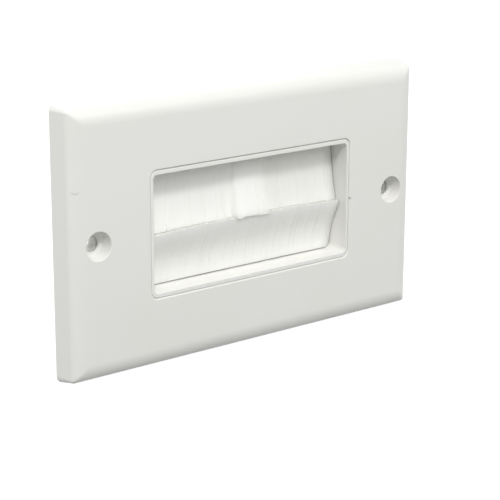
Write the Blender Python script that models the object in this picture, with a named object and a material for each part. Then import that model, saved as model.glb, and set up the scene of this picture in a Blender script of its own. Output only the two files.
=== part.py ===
"""Single-gang wall plate with a brush-lined window for passing cables through a wall.

Frame: X along the plate, +Z up, the room on the -Y side. The origin is the centre of the
plate's back edge, which lies on the wall. A height is measured from the wall towards the
room, so a height h lies at y = -h, and a depth d behind the wall's surface lies at y = d.
"""

import math
import random

import bmesh
import bpy
from mathutils import Vector

MM = 0.001

# Running clearance between pieces that touch on the real product
GAP = 0.3 * MM
# How far a cutter or a joined shape runs past the surface that it meets
PAST = 0.5 * MM

# Cover plate
PLATE_LENGTH = 114.3 * MM
PLATE_WIDTH = 69.85 * MM
PLATE_HEIGHT = 7.04 * MM
PLATE_WALL = 2.0 * MM
PLATE_CORNER = 3.0 * MM
SHARPEST_CORNER = 0.3 * MM
SIDE_HEIGHT = 4.4 * MM
SIDE_DRAFT = 0.9 * MM
BEVEL_WIDTH = 5.4 * MM
WINDOW_LENGTH = 65.8 * MM
WINDOW_WIDTH = 32.8 * MM
WINDOW_CORNER = 2.0 * MM
WINDOW_EDGE = 0.35 * MM
RIB_THICKNESS = 1.0 * MM
RIB_PLACES = (-20.0 * MM, 20.0 * MM)

# Screw holes, one near each end of the plate
SCREW_INSET = 8.73 * MM
SCREW_HOLE_RADIUS = 2.0 * MM
BOWL_RADIUS = 3.62 * MM
BOWL_DEPTH = 2.2 * MM
SCREW_POST_RADIUS = 4.2 * MM
SCREW_POST_END = 3.14 * MM

# Insert: the collar that shows in the window, its tunnel and its mounting flange
RIM_SETBACK = 0.2 * MM
RIM_DEPTH = 0.5 * MM
RIM_SIDE = 0.6 * MM
RIM_TOP = 0.92 * MM
RIM_EDGE = 0.15 * MM
TUNNEL_FRONT_CORNER = 1.3 * MM
TUNNEL_BACK_CORNER = 1.9 * MM
TUNNEL_LIP = 1.4 * MM
TUNNEL_END = 0.9 * MM
SHOULDER_WIDTH = 1.8 * MM
SHOULDER_CORNER = 3.0 * MM
FLANGE_HEIGHT = 2.0 * MM
FLANGE_MARGIN = 1.2 * MM
FLANGE_CORNER = 3.0 * MM
EAR_WIDTH = 23.0 * MM
EAR_MARGIN = 4.8 * MM
EAR_BOSS_RADIUS = 3.4 * MM
TAPPED_RADIUS = 1.6 * MM
BOX_SCREW_STEP = 6.77 * MM
SLOT_LENGTH = 7.0 * MM
SLOT_WIDTH = 3.9 * MM
SLOT_END_FLAT = 0.02 * MM

# Insert: the housing behind the flange that holds the two brushes
HOUSING_WALL = 1.4 * MM
CLAMP_POST_RADIUS = 1.8 * MM
PILOT_RADIUS = 1.1 * MM
PILOT_FLOOR = 0.6 * MM

# Brush channels, folded from strip
CHANNEL_WIDTH = 4.8 * MM
CHANNEL_DEPTH = 4.3 * MM
CHANNEL_WALL = 0.5 * MM
CHANNEL_BEND = 0.9 * MM
CHANNEL_LIP = 0.2 * MM
WIRE_RADIUS = 0.4 * MM

# Bristles
BRISTLE_END_GAP = 0.3 * MM
ROOT_THICKNESS = 2.1 * MM
TIP_THICKNESS = 2.6 * MM
# The way each row takes: share of the length from the channel, and how far forward it has come
UPPER_COURSE = (
    (0.0, 0.0),
    (0.1, 0.5 * MM),
    (0.2, 2.0 * MM),
    (0.4, 2.45 * MM),
    (0.6, 2.9 * MM),
    (0.8, 3.5 * MM),
    (1.0, 4.35 * MM),
)
LOWER_COURSE = (
    (0.0, 0.0),
    (0.1, 0.5 * MM),
    (0.2, 2.0 * MM),
    (0.36, 2.25 * MM),
    (0.52, 2.8 * MM),
    (0.68, 3.8 * MM),
    (0.84, 5.0 * MM),
    (1.0, 6.0 * MM),
)
# The rows are drawn in at both ends where they pass the tunnel's round corners
CORNER_PINCH = 1.2 * MM
PINCH_SHARE = 0.1
MEETING_HEIGHT = -0.3 * MM
MEETING_SAG = 0.8 * MM
TUFTS = 34
TUFT_SPREAD = 0.55
TUFT_NOTCH = 1.5 * MM
TUFT_RAGGED = 0.35 * MM
TUFT_SWAY = 0.25 * MM
CREST_START = 0.3
CREST_END = 0.7
CREST_SWELL = 0.06
VALLEY_PINCH = 0.24
# A clump of the upper tufts hangs further forward than the rest
CLUMP_START = -5.0 * MM
CLUMP_END = 6.7 * MM
CLUMP_FORWARD = 1.9 * MM
# Tufts of the lower row lean towards +X, most of all near its left end
LOWER_LEAN = 2.2 * MM
LEAN_CENTRE = -24.0 * MM
LEAN_REACH = 14.0 * MM
LEAN_FADE = 5.0 * MM

# Clamp bars and their screws
BAR_THICKNESS = 1.8 * MM
BAR_CORNER = 1.0 * MM
BAR_GRIP = 1.3 * MM
CLAMP_SCREW_RADIUS = 0.8 * MM
CLAMP_HEAD_RADIUS = 1.7 * MM
CLAMP_HEAD_HEIGHT = 1.2 * MM
CLAMP_SCREW_REACH = 3.4 * MM
RECESS_SPAN = 1.9 * MM
RECESS_WIDTH = 0.45 * MM
RECESS_DEPTH = 0.7 * MM
HEAD_CROWN = 0.7 * MM
POINT_RADIUS = 0.15 * MM
POINT_LENGTH = 1.4 * MM

# Facets
CORNER_STEPS = 6
BEVEL_STEPS = 7
EDGE_STEPS = 3
BOWL_STEPS = 5
HOLE_SIDES = 32
SMALL_SIDES = 16
BULB_STEPS = 4

# What follows from the sizes above
SCREW_X = PLATE_LENGTH / 2 - SCREW_INSET
SLOT_X = SCREW_X - BOX_SCREW_STEP
ROOF_HEIGHT = PLATE_HEIGHT - PLATE_WALL
SEAT_HEIGHT = FLANGE_HEIGHT + GAP
EAR_BOSS_HEIGHT = SCREW_POST_END - GAP
COLLAR_X = WINDOW_LENGTH / 2 - GAP
COLLAR_Z = WINDOW_WIDTH / 2 - GAP
COLLAR_CORNER = WINDOW_CORNER - GAP
COLLAR_HEIGHT = PLATE_HEIGHT - RIM_SETBACK
TUNNEL_X = COLLAR_X - RIM_SIDE
TUNNEL_Z = COLLAR_Z - RIM_TOP
SHOULDER_HEIGHT = ROOF_HEIGHT - GAP
BRISTLE_X = TUNNEL_X - BRISTLE_END_GAP
CHANNEL_X = TUNNEL_X
CHANNEL_MOUTH = TUNNEL_Z + TUNNEL_LIP + GAP
CHANNEL_BACK = CHANNEL_MOUTH + CHANNEL_DEPTH
CHANNEL_NEAR = GAP
CHANNEL_FAR = CHANNEL_NEAR + CHANNEL_WIDTH
CHANNEL_MIDDLE = (CHANNEL_NEAR + CHANNEL_FAR) / 2
CLAMP_X = CHANNEL_X + GAP + CLAMP_POST_RADIUS
CLAMP_Z = CHANNEL_BACK - CHANNEL_DEPTH / 2
BAR_X = CLAMP_X + CLAMP_POST_RADIUS
BAR_NEAR = CHANNEL_FAR + GAP
BAR_FAR = BAR_NEAR + BAR_THICKNESS
POCKET_X = BAR_X + GAP
POCKET_Z = CHANNEL_BACK + GAP
HOUSING_X = POCKET_X + HOUSING_WALL
HOUSING_Z = POCKET_Z + HOUSING_WALL
BULB_RADIUS = CHANNEL_WIDTH / 2 - CHANNEL_WALL - GAP
BULB_Z = CHANNEL_BACK - CHANNEL_WALL - GAP - BULB_RADIUS


def clear_scene():
    for old in list(bpy.data.objects):
        bpy.data.objects.remove(old, do_unlink=True)


def material(name, colour, roughness, metallic=0.0):
    made = bpy.data.materials.new(name)
    made.use_nodes = True
    shader = made.node_tree.nodes["Principled BSDF"]
    shader.inputs["Base Color"].default_value = (*colour, 1.0)
    shader.inputs["Roughness"].default_value = roughness
    shader.inputs["Metallic"].default_value = metallic
    return made


def add_object(name, mesh_builder, finish=None):
    """A new object whose mesh is what the bmesh holds, with its faces pointing out."""
    bmesh.ops.recalc_face_normals(mesh_builder, faces=mesh_builder.faces)
    mesh = bpy.data.meshes.new(name)
    mesh_builder.to_mesh(mesh)
    mesh_builder.free()
    mesh.shade_smooth()
    mesh.set_sharp_from_angle(angle=math.radians(30))
    made = bpy.data.objects.new(name, mesh)
    bpy.context.scene.collection.objects.link(made)
    if finish is not None:
        mesh.materials.append(finish)
    return made


def as_helper(helper):
    """A helper only shapes other pieces, so it isn't rendered itself."""
    helper.hide_render = True
    helper.display_type = "WIRE"
    return helper


def combine(target, operation, name, helpers):
    """Joins all the helpers to the target in one step, or cuts them all from it."""
    group = bpy.data.collections.new(name)
    bpy.context.scene.collection.children.link(group)
    for helper in helpers:
        bpy.context.scene.collection.objects.unlink(helper)
        group.objects.link(helper)
        as_helper(helper)
    step = target.modifiers.new(name, "BOOLEAN")
    step.operation = operation
    step.operand_type = "COLLECTION"
    step.collection = group
    step.solver = "EXACT"


def rounded_rectangle(half_x, half_z, corner, centre_x=0.0, centre_z=0.0):
    """Points (x, z) round a rectangle with round corners, anticlockwise as the room sees it."""
    points = []
    for quarter, (sign_x, sign_z) in enumerate(((1, 1), (-1, 1), (-1, -1), (1, -1))):
        middle_x = centre_x + sign_x * (half_x - corner)
        middle_z = centre_z + sign_z * (half_z - corner)
        for step in range(CORNER_STEPS + 1):
            angle = math.pi / 2 * (quarter + step / CORNER_STEPS)
            points.append((middle_x + corner * math.cos(angle), middle_z + corner * math.sin(angle)))
    return points


def at_height(points, height):
    return [Vector((x, -height, z)) for x, z in points]


def loft(name, loops, finish=None):
    """A closed solid through matching loops of points, with a flat cap at each end."""
    builder = bmesh.new()
    rows = [[builder.verts.new(point) for point in loop] for loop in loops]
    for near, far in zip(rows, rows[1:]):
        for index in range(len(near)):
            after = (index + 1) % len(near)
            builder.faces.new((near[index], near[after], far[after], far[index]))
    builder.faces.new(rows[0])
    builder.faces.new(rows[-1])
    return add_object(name, builder, finish)


def block(name, half_x, half_z, corner, low, high, centre=(0.0, 0.0), finish=None):
    """A rounded rectangle drawn out from one height to another."""
    outline = rounded_rectangle(half_x, half_z, corner, *centre)
    return loft(name, [at_height(outline, low), at_height(outline, high)], finish)


def pin_profile(radius, near, far):
    """(radius, y) pairs of a plain pin between two places along Y."""
    return [(radius, near), (radius, far)]


def turned(name, profile, sides, place, finish=None):
    """A turned solid with flat ends: (radius, y) pairs taken round the line through place along Y."""
    turns = [math.tau * step / sides for step in range(sides)]
    loops = [
        [Vector((radius * math.cos(turn), y, radius * math.sin(turn))) for turn in turns]
        for radius, y in profile
    ]
    made = loft(name, loops, finish)
    made.location = place
    return made


def plate_edge():
    """(inset, height) pairs up the plate's edge: a drafted side, then a quarter ellipse."""
    pairs = [(0.0, 0.0)]
    for step in range(BEVEL_STEPS + 1):
        angle = math.pi / 2 * step / BEVEL_STEPS
        inset = SIDE_DRAFT + (BEVEL_WIDTH - SIDE_DRAFT) * (1 - math.cos(angle))
        height = SIDE_HEIGHT + (PLATE_HEIGHT - SIDE_HEIGHT) * math.sin(angle)
        pairs.append((inset, height))
    return pairs


def plate_level(inset, height):
    """The plate's outline moved inwards, its corners sharper the further in it is."""
    corner = max(PLATE_CORNER - inset, SHARPEST_CORNER)
    outline = rounded_rectangle(PLATE_LENGTH / 2 - inset, PLATE_WIDTH / 2 - inset, corner)
    return at_height(outline, height)


def window_level(outset, height):
    outline = rounded_rectangle(
        WINDOW_LENGTH / 2 + outset, WINDOW_WIDTH / 2 + outset, WINDOW_CORNER + outset
    )
    return at_height(outline, height)


def window_cutter():
    """The window's shape, wider at the front where the plate's edge is rounded over."""
    levels = [window_level(WINDOW_EDGE, PLATE_HEIGHT + PAST)]
    for step in range(EDGE_STEPS, -1, -1):
        angle = math.pi / 2 * step / EDGE_STEPS
        outset = WINDOW_EDGE * (1 - math.cos(angle))
        levels.append(window_level(outset, PLATE_HEIGHT - WINDOW_EDGE * (1 - math.sin(angle))))
    levels.append(window_level(0.0, ROOF_HEIGHT - PAST))
    return loft("window_cutter", levels)


def screw_posts():
    """A post behind each end of the face, which reaches the boss on the insert's ear."""
    posts = []
    for side, x in (("left", -SCREW_X), ("right", SCREW_X)):
        profile = pin_profile(SCREW_POST_RADIUS, -ROOF_HEIGHT - PAST, -SCREW_POST_END)
        posts.append(turned(f"screw_post_{side}", profile, HOLE_SIDES, (x, 0.0, 0.0)))
    return posts


def screw_holes():
    """Each is a bowl, steep at the face and flat at the bottom, with a plain hole below it."""
    holes = []
    for side, x in (("left", -SCREW_X), ("right", SCREW_X)):
        profile = [(BOWL_RADIUS, -PLATE_HEIGHT - PAST)]
        for step in range(BOWL_STEPS + 1):
            angle = math.pi / 2 * step / BOWL_STEPS
            radius = SCREW_HOLE_RADIUS + (BOWL_RADIUS - SCREW_HOLE_RADIUS) * math.cos(angle)
            profile.append((radius, -PLATE_HEIGHT + BOWL_DEPTH * math.sin(angle)))
        profile.append((SCREW_HOLE_RADIUS, -SCREW_POST_END + PAST))
        holes.append(turned(f"screw_hole_{side}", profile, HOLE_SIDES, (x, 0.0, 0.0)))
    return holes


def plate_ribs():
    """Short ribs stiffen the face above and below the window, just clear of the insert."""
    start = COLLAR_Z + SHOULDER_WIDTH + GAP
    end = PLATE_WIDTH / 2 - PLATE_WALL
    ribs = []
    for place, x in enumerate(RIB_PLACES):
        for side, sign in (("upper", 1), ("lower", -1)):
            rib = block(
                f"rib_{side}_{place}",
                RIB_THICKNESS / 2,
                (end - start) / 2,
                RIB_THICKNESS / 5,
                SEAT_HEIGHT,
                ROOF_HEIGHT + PAST,
                (x, sign * (start + end) / 2),
            )
            ribs.append(rib)
    return ribs


def make_wall_plate(finish):
    edge = plate_edge()
    plate = loft("wall_plate", [plate_level(*pair) for pair in edge], finish)
    hollow = [plate_level(inset + PLATE_WALL, height - PLATE_WALL) for inset, height in edge]
    combine(plate, "DIFFERENCE", "plate_hollowing", [loft("plate_hollow", hollow)])
    combine(plate, "UNION", "plate_stiffening", plate_ribs() + screw_posts())
    combine(plate, "DIFFERENCE", "plate_openings", [window_cutter()] + screw_holes())


def collar_level(inset, height):
    outline = rounded_rectangle(COLLAR_X - inset, COLLAR_Z - inset, COLLAR_CORNER - inset)
    return at_height(outline, height)


def make_collar(finish):
    """The collar fills the plate's window and shows as a narrow rim, its outer edge rounded."""
    levels = [collar_level(0.0, FLANGE_HEIGHT - PAST)]
    for step in range(EDGE_STEPS + 1):
        angle = math.pi / 2 * step / EDGE_STEPS
        inset = RIM_EDGE * (1 - math.cos(angle))
        levels.append(collar_level(inset, COLLAR_HEIGHT - RIM_EDGE * (1 - math.sin(angle))))
    return loft("insert_frame", levels, finish)


def outer_shapes():
    """The shoulder behind the plate's face, the flange with its ears, and the housing's wall."""
    shoulder = block(
        "shoulder",
        COLLAR_X + SHOULDER_WIDTH,
        COLLAR_Z + SHOULDER_WIDTH,
        SHOULDER_CORNER,
        FLANGE_HEIGHT - PAST,
        SHOULDER_HEIGHT,
    )
    flange = block(
        "flange",
        HOUSING_X + FLANGE_MARGIN,
        HOUSING_Z + FLANGE_MARGIN,
        FLANGE_CORNER,
        0.0,
        FLANGE_HEIGHT,
    )
    ears = block(
        "ears", SCREW_X + EAR_MARGIN, EAR_WIDTH / 2, FLANGE_CORNER, 0.0, FLANGE_HEIGHT
    )
    wall = block(
        "housing_wall", HOUSING_X, HOUSING_Z, FLANGE_CORNER, -BAR_FAR, FLANGE_HEIGHT / 2
    )
    profile = pin_profile(EAR_BOSS_RADIUS, -EAR_BOSS_HEIGHT, -FLANGE_HEIGHT / 2)
    bosses = [
        turned(f"ear_boss_{side}", profile, HOLE_SIDES, (x, 0.0, 0.0))
        for side, x in (("left", -SCREW_X), ("right", SCREW_X))
    ]
    return [shoulder, flange, ears, wall] + bosses


def inner_shapes():
    """The tunnel's lip, and a post in each corner of the housing for a clamp screw."""
    lip = block(
        "tunnel_lip",
        TUNNEL_X + TUNNEL_LIP,
        TUNNEL_Z + TUNNEL_LIP,
        TUNNEL_BACK_CORNER + TUNNEL_LIP,
        -TUNNEL_END,
        FLANGE_HEIGHT / 2,
    )
    profile = pin_profile(CLAMP_POST_RADIUS, -FLANGE_HEIGHT / 2, CHANNEL_FAR)
    posts = [
        turned(f"clamp_post_{place}", profile, SMALL_SIDES, (x, 0.0, z))
        for place, x, z in clamp_places()
    ]
    return [lip] + posts


def tunnel_cutter():
    """The cable tunnel, its corners rounder at the back than at the rim."""
    front = rounded_rectangle(TUNNEL_X, TUNNEL_Z, TUNNEL_FRONT_CORNER)
    back = rounded_rectangle(TUNNEL_X, TUNNEL_Z, TUNNEL_BACK_CORNER)
    levels = [
        at_height(front, COLLAR_HEIGHT + PAST),
        at_height(front, COLLAR_HEIGHT - RIM_DEPTH),
        at_height(back, -TUNNEL_END - PAST),
    ]
    return loft("tunnel_cutter", levels)


def ear_holes():
    """In each ear a slot for fixing to the wall box, and a tapped hole behind the plate's hole."""
    holes = []
    tapped = pin_profile(TAPPED_RADIUS, -EAR_BOSS_HEIGHT - PAST, PAST)
    for side, sign in (("left", -1), ("right", 1)):
        slot = block(
            f"box_slot_{side}",
            SLOT_LENGTH / 2,
            SLOT_WIDTH / 2,
            SLOT_WIDTH / 2 - SLOT_END_FLAT,
            -PAST,
            FLANGE_HEIGHT + PAST,
            (sign * SLOT_X, 0.0),
        )
        holes.append(slot)
        holes.append(turned(f"tapped_hole_{side}", tapped, SMALL_SIDES, (sign * SCREW_X, 0.0, 0.0)))
    return holes


def pilot_holes():
    profile = pin_profile(PILOT_RADIUS, PILOT_FLOOR, CHANNEL_FAR + PAST)
    return [
        turned(f"pilot_{place}", profile, SMALL_SIDES, (x, 0.0, z))
        for place, x, z in clamp_places()
    ]


def make_insert_frame(finish):
    frame = make_collar(finish)
    pocket = block(
        "housing_pocket", POCKET_X, POCKET_Z, FLANGE_CORNER - HOUSING_WALL, -BAR_FAR - PAST, 0.0
    )
    combine(frame, "UNION", "insert_outside", outer_shapes())
    combine(frame, "DIFFERENCE", "insert_pocket", [pocket])
    combine(frame, "UNION", "insert_inside", inner_shapes())
    combine(frame, "DIFFERENCE", "insert_openings", [tunnel_cutter()] + ear_holes() + pilot_holes())


def channel_section():
    """(z, y) points round the folded strip: a U open towards the window, its lips turned in."""
    edge = -CHANNEL_WIDTH / 2
    lip_z = CHANNEL_MOUTH + 2 * CHANNEL_LIP
    outer = [(CHANNEL_MOUTH, edge + CHANNEL_LIP), (lip_z, edge)]
    inner = [(CHANNEL_MOUTH, edge + CHANNEL_LIP + CHANNEL_WALL), (lip_z, edge + CHANNEL_WALL)]
    for step in range(EDGE_STEPS + 1):
        angle = math.pi / 2 * step / EDGE_STEPS
        for face, radius in ((outer, CHANNEL_BEND), (inner, CHANNEL_BEND - CHANNEL_WALL)):
            z = CHANNEL_BACK - CHANNEL_BEND + radius * math.sin(angle)
            face.append((z, edge + CHANNEL_BEND - radius * math.cos(angle)))
    far_outer = [(z, -y) for z, y in reversed(outer)]
    far_inner = [(z, -y) for z, y in inner]
    return outer + far_outer + far_inner + inner[::-1]


def along_x(section, half_length, side):
    """The same section at both ends of a strip, for the upper (+1) or lower (-1) brush."""
    return [
        [Vector((x, CHANNEL_MIDDLE + y, side * z)) for z, y in section]
        for x in (-half_length, half_length)
    ]


def make_channel(name, side, finish):
    loft(f"{name}_brush_channel", along_x(channel_section(), CHANNEL_X, side), finish)


def round_section(radius):
    """(z, y) points round the core wire's axis."""
    turns = [math.tau * step / SMALL_SIDES for step in range(SMALL_SIDES)]
    return [(BULB_Z + radius * math.cos(turn), radius * math.sin(turn)) for turn in turns]


def make_wire(name, side, finish):
    """The core wire that the bristles are folded round."""
    loft(f"{name}_brush_wire", along_x(round_section(WIRE_RADIUS), CHANNEL_X, side), finish)


def meeting_height(x):
    """Height of the line where the two rows of tips meet, which sags towards both ends."""
    return MEETING_HEIGHT - MEETING_SAG * (x / BRISTLE_X) ** 2


def tip_lean(x, most):
    """How far the tips of the tuft at x stand towards +X of its root: not at all at both ends."""
    fade = min(1.0, (BRISTLE_X - abs(x)) / LEAN_FADE)
    return most * fade * math.exp(-(((x - LEAN_CENTRE) / LEAN_REACH) ** 2))


def bristle_section(x, side, course, lean, notch, swell, sway):
    """Points round the bristles at x: folded round the wire, then out to the tips."""
    loop = []
    for step in range(BULB_STEPS + 1):
        angle = math.pi * step / BULB_STEPS
        y = CHANNEL_MIDDLE - BULB_RADIUS * math.cos(angle)
        loop.append((x, y, BULB_Z + BULB_RADIUS * math.sin(angle)))
    tip = side * meeting_height(x) + GAP / 2 + notch
    front, back = [], []
    for share, forward in course:
        z = CHANNEL_MOUTH + (tip - CHANNEL_MOUTH) * share
        middle = CHANNEL_MIDDLE - forward + sway * share
        thickness = ROOT_THICKNESS + (TIP_THICKNESS - ROOT_THICKNESS) * share
        half = thickness / 2 * (1 + swell * share)
        pinch = CORNER_PINCH * max(0.0, 1 - abs(share / PINCH_SHARE - 1))
        tilted = x * (1 - pinch / BRISTLE_X) + tip_lean(x, lean) * share
        front.append((tilted, middle - half, z))
        back.append((tilted, middle + half, z))
    loop += back + front[::-1]
    return [Vector((along, y, side * z)) for along, y, z in loop]


def tuft_edges(dice):
    """Where along X each tuft starts and ends: the tufts vary in width and fill the row."""
    widths = [1 + TUFT_SPREAD * (2 * dice.random() - 1) for _ in range(TUFTS)]
    pitch = 2 * BRISTLE_X / sum(widths)
    edges = [-BRISTLE_X]
    for width in widths:
        edges.append(edges[-1] + width * pitch)
    edges[-1] = BRISTLE_X
    return edges


def make_bristles(name, side, course, lean, clump, seed, finish):
    """One row of tufts: each swells at its crest, and is pinched and notched where it parts."""
    dice = random.Random(seed)
    edges = tuft_edges(dice)
    notch = TUFT_NOTCH * dice.random()
    loops = []
    for start, end in zip(edges, edges[1:]):
        ragged = TUFT_RAGGED * dice.random()
        sway = TUFT_SWAY * (2 * dice.random() - 1)
        if CLUMP_START < (start + end) / 2 < CLUMP_END:
            sway -= clump
        valley = (0.0, notch, -VALLEY_PINCH)
        crest = [(share, ragged, CREST_SWELL) for share in (CREST_START, CREST_END)]
        for share, short, swell in [valley] + crest:
            x = start + (end - start) * share
            loops.append(bristle_section(x, side, course, lean, short, swell, sway))
        notch = TUFT_NOTCH * dice.random()
    loops.append(bristle_section(BRISTLE_X, side, course, lean, notch, -VALLEY_PINCH, 0.0))
    bristles = loft(f"{name}_bristles", loops, finish)
    fold = round_section(WIRE_RADIUS + GAP)
    cutter = loft(f"{name}_wire_fold", along_x(fold, BRISTLE_X + PAST, side))
    combine(bristles, "DIFFERENCE", f"{name}_fold", [cutter])


def clamp_places():
    """(name, x, z) of the four screws that hold the clamp bars."""
    return [
        (f"{row}_{column}", sign_x * CLAMP_X, sign_z * CLAMP_Z)
        for row, sign_z in (("upper", 1), ("lower", -1))
        for column, sign_x in (("left", -1), ("right", 1))
    ]


def make_clamp_bar(name, side, finish):
    """A flat bar across the back of one brush channel, with a screw hole near each end."""
    low = TUNNEL_Z + BAR_GRIP
    bar = block(
        f"{name}_clamp_bar",
        BAR_X,
        (CHANNEL_BACK - low) / 2,
        BAR_CORNER,
        -BAR_FAR,
        -BAR_NEAR,
        (0.0, side * (CHANNEL_BACK + low) / 2),
        finish,
    )
    profile = pin_profile(PILOT_RADIUS, BAR_NEAR - PAST, BAR_FAR + PAST)
    holes = [
        turned(f"bar_hole_{place}", profile, SMALL_SIDES, (x, 0.0, z))
        for place, x, z in clamp_places()
        if place.startswith(name)
    ]
    combine(bar, "DIFFERENCE", f"{name}_bar_holes", holes)


def screw_profile():
    """(radius, y) pairs from a clamp screw's point to the top of its pan head."""
    seat = BAR_FAR + GAP
    tip = BAR_NEAR - CLAMP_SCREW_REACH
    profile = [(POINT_RADIUS, tip), (CLAMP_SCREW_RADIUS, tip + POINT_LENGTH)]
    profile += [(CLAMP_SCREW_RADIUS, seat), (CLAMP_HEAD_RADIUS, seat)]
    for step in range(EDGE_STEPS + 1):
        angle = math.pi / 2 * step / EDGE_STEPS
        radius = CLAMP_HEAD_RADIUS - HEAD_CROWN * (1 - math.cos(angle))
        profile.append((radius, seat + CLAMP_HEAD_HEIGHT - HEAD_CROWN * (1 - math.sin(angle))))
    return profile


def make_clamp_screw(place, x, z, finish):
    """A pan-head self-tapping screw with a cross recess, driven in from behind."""
    screw = turned(f"clamp_screw_{place}", screw_profile(), SMALL_SIDES, (x, 0.0, z), finish)
    top = BAR_FAR + GAP + CLAMP_HEAD_HEIGHT
    long_half, short_half = RECESS_SPAN / 2, RECESS_WIDTH / 2
    arms = []
    for index, halves in enumerate(((long_half, short_half), (short_half, long_half))):
        low, high = -top - PAST, RECESS_DEPTH - top
        arms.append(block(f"recess_{place}_{index}", *halves, RECESS_WIDTH / 4, low, high, (x, z)))
    combine(screw, "DIFFERENCE", f"recess_{place}", arms)


def make_part():
    clear_scene()
    plate_white = material("plate_white", (0.74, 0.745, 0.705), 0.32)
    insert_white = material("insert_white", (0.76, 0.76, 0.725), 0.35)
    bristle_white = material("bristle_white", (0.86, 0.87, 0.84), 0.5)
    folded_steel = material("folded_steel", (0.62, 0.63, 0.64), 0.35, 1.0)
    screw_steel = material("screw_steel", (0.55, 0.55, 0.56), 0.3, 1.0)
    make_wall_plate(plate_white)
    make_insert_frame(insert_white)
    rows = (
        ("upper", 1, UPPER_COURSE, 0.0, CLUMP_FORWARD, 3),
        ("lower", -1, LOWER_COURSE, LOWER_LEAN, 0.0, 8),
    )
    for name, side, course, lean, clump, seed in rows:
        make_channel(name, side, folded_steel)
        make_wire(name, side, screw_steel)
        make_bristles(name, side, course, lean, clump, seed, bristle_white)
        make_clamp_bar(name, side, insert_white)
    for place, x, z in clamp_places():
        make_clamp_screw(place, x, z, screw_steel)


make_part()
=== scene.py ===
"""Cable pass-through wall plate: a white moulding whose window two rows of bristles close.

Frame: metres, X along the plate, +Z up, the wall on the +Y side with its surface at y = 0.
The pieces come in the order in which the product is put together.
"""

import math

import bmesh
import bpy
import numpy as np
from mathutils import Matrix, Vector


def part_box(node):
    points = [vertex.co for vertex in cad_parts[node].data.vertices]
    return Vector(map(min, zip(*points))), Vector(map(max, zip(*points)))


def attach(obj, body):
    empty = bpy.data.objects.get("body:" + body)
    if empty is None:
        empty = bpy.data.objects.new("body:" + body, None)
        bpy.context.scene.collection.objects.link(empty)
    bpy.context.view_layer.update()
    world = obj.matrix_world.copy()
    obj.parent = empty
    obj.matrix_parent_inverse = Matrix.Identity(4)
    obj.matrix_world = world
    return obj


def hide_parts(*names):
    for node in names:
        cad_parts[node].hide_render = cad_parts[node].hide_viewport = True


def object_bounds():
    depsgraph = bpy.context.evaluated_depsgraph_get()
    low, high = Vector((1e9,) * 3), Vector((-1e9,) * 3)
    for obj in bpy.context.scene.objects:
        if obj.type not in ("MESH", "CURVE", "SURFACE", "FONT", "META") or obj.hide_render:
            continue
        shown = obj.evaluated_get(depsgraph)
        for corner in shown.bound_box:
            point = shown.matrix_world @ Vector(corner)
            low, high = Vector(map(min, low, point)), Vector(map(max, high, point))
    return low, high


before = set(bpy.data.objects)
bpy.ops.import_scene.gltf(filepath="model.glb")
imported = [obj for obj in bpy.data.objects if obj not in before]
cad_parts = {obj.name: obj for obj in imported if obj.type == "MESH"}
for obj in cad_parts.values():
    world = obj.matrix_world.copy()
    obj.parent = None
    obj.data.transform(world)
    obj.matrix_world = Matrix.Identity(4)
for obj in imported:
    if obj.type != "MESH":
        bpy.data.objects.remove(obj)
cad_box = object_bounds()


# Insert frame
# One white moulding that screws to the wall box. Its collar stands in the plate's window as a
# narrow rim, the tunnel through it carries the cables, and its housing behind holds the brushes.

MM = 0.001

# The gap between pieces that touch, and how far a cutter or a sunk end goes past a face
GAP = 0.3 * MM
PAST = 0.5 * MM

insert_low, insert_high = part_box("insert_frame")
COLLAR_FRONT = insert_low.y
HOUSING_END = insert_high.y
EAR_END = insert_high.x
FLANGE_HALF_Z = insert_high.z

# The collar's rim, and the tunnel inside it
RIM_HALF_X = 32.81 * MM
RIM_HALF_Z = 16.31 * MM
RIM_CORNER = 1.91 * MM
RIM_EDGE = 0.2 * MM
RIM_SIDE = 0.81 * MM
RIM_TOP = 1.13 * MM
TUNNEL_X = RIM_HALF_X - RIM_SIDE
TUNNEL_Z = RIM_HALF_Z - RIM_TOP
TUNNEL_CORNER_FRONT = 1.3 * MM
TUNNEL_CORNER_BACK = 1.9 * MM
TUNNEL_EDGE = 0.12 * MM
TUNNEL_END = 0.9 * MM
TUNNEL_LIP = 1.4 * MM

# The flange, its raised shoulder, and its ears with their bosses, tapped holes and slots
BLOCK_CORNER = 3.0 * MM
BLOCK_EDGE = 0.25 * MM
SHOULDER_WIDTH = 1.8 * MM
SHOULDER_FRONT = -4.74 * MM
FLANGE_FRONT = -2.0 * MM
FLANGE_MIDDLE = FLANGE_FRONT / 2
FLANGE_MARGIN = 1.2 * MM
EAR_HALF_Z = 11.5 * MM
EAR_MARGIN = 4.8 * MM
SCREW_X = EAR_END - EAR_MARGIN
BOSS_FRONT = -2.84 * MM
BOSS_RADIUS = 3.4 * MM
TAPPED_RADIUS = 1.6 * MM
SLOT_STEP = 6.77 * MM
SLOT_HALF_X = 3.5 * MM
SLOT_HALF_Z = 1.95 * MM
SLOT_CORNER = 0.99 * SLOT_HALF_Z

# The housing, and the posts in it that take the clamp screws
HOUSING_WALL = 1.4 * MM
CHANNEL_FAR = 5.1 * MM
POST_RADIUS = 1.8 * MM
PILOT_RADIUS = 1.1 * MM
PILOT_FLOOR = 0.6 * MM
HOUSING_X = TUNNEL_X + GAP + 2 * POST_RADIUS + GAP + HOUSING_WALL
HOUSING_Z = FLANGE_HALF_Z - FLANGE_MARGIN
CLAMP_X = TUNNEL_X + GAP + POST_RADIUS
CLAMP_Z = 19.03 * MM
CLAMP_PLACES = [(sign_x * CLAMP_X, sign_z * CLAMP_Z) for sign_z in (1, -1) for sign_x in (-1, 1)]

CORNER_STEPS = 12
EDGE_STEPS = 4
TURNED_SIDES = 48
SHARP_ANGLE = math.radians(30)

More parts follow.
